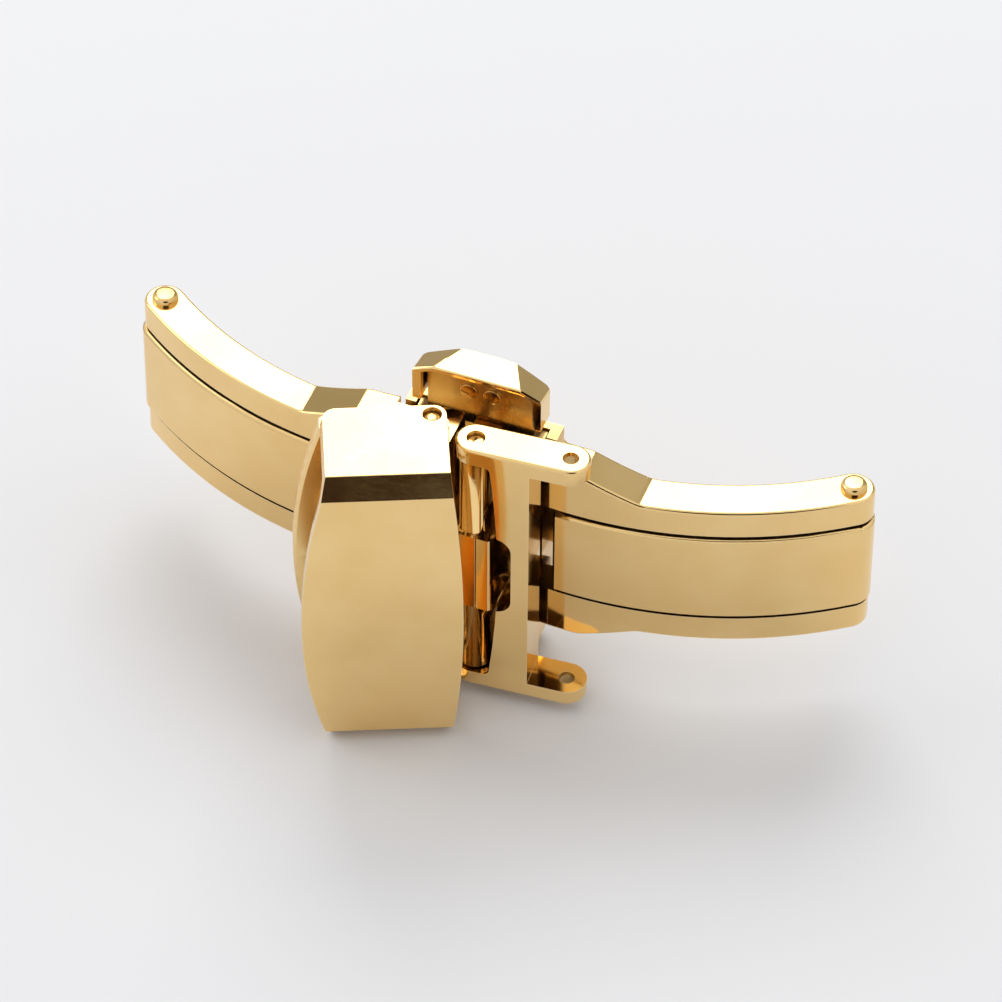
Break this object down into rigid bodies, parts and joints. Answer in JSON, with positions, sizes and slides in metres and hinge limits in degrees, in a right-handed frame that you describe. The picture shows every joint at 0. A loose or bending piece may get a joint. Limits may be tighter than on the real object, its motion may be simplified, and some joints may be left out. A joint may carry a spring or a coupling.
{
  "type": "butterfly clasp",
  "caption": "Push-button butterfly clasp for a watch strap: two folding wings on a curved base, a flip-open strap loop and a strap frame.",
  "frame": {"origin": "centre of the bounding box in X and Y, on the plane the clasp stands on", "axes": "+X along the strap towards the strap frame's end, -Y away from the wrist, +Z across the width of the strap, up"},
  "size_m": [0.0478, 0.0194, 0.0224],
  "materials": {
    "gold_plate": "polished stainless steel with a yellow gold plating",
    "spring_steel": "bare drawn spring wire"
  },
  "bodies": {
    "base": {"base_plate": "gold_plate", "lock_housing": "gold_plate", "housing_screws": "gold_plate", "guide_rivets": "gold_plate", "left_hinge_pin": "gold_plate", "right_hinge_pin": "gold_plate", "top_button_spring": "spring_steel", "bottom_button_spring": "spring_steel"},
    "left_wing": {"left_wing": "gold_plate", "left_catch_studs": "gold_plate", "strap_plate_pin": "gold_plate"},
    "right_wing": {"right_wing": "gold_plate", "right_catch_studs": "gold_plate", "strap_frame_pin": "gold_plate"},
    "strap_plate": {"strap_plate": "gold_plate", "strap_post": "gold_plate"},
    "cover": {"cover": "gold_plate"},
    "strap_frame": {"strap_frame": "gold_plate"},
    "top_button": {"top_button": "gold_plate", "top_slide": "gold_plate", "top_button_rivets": "gold_plate"},
    "bottom_button": {"bottom_button": "gold_plate", "bottom_slide": "gold_plate", "bottom_button_rivets": "gold_plate"}
  },
  "joints": [
    {"name": "left_wing_fold", "type": "hinge", "parent": "base", "child": "left_wing", "pos_m": [-0.0225, 0.00842, 0.0112], "axis": [0, 0, -1], "range_deg": [0, 170]},
    {"name": "right_wing_fold", "type": "hinge", "parent": "base", "child": "right_wing", "pos_m": [0.0225, 0.00842, 0.0112], "axis": [0, 0, 1], "range_deg": [0, 170]},
    {"name": "strap_plate_swing", "type": "hinge", "parent": "left_wing", "child": "strap_plate", "pos_m": [-0.0014, -0.00018, 0.0112], "axis": [0, 0, 1], "range_deg": [-24, 16]},
    {"name": "cover_flip", "type": "hinge", "parent": "strap_plate", "child": "cover", "pos_m": [-0.0014, -0.00018, 0.0112], "axis": [0, 0, 1], "range_deg": [0, 34]},
    {"name": "strap_frame_swing", "type": "hinge", "parent": "right_wing", "child": "strap_frame", "pos_m": [0.0014, -0.00018, 0.0112], "axis": [0, 0, -1], "range_deg": [-4, 60]},
    {"name": "top_button_press", "type": "slide", "parent": "base", "child": "top_button", "axis": [0, 0, -1], "range_m": [0, 0.001], "stiffness_N_per_m": 300, "deforming": ["top_button_spring"]},
    {"name": "bottom_button_press", "type": "slide", "parent": "base", "child": "bottom_button", "axis": [0, 0, 1], "range_m": [0, 0.001], "stiffness_N_per_m": 300, "deforming": ["bottom_button_spring"]}
  ]
}
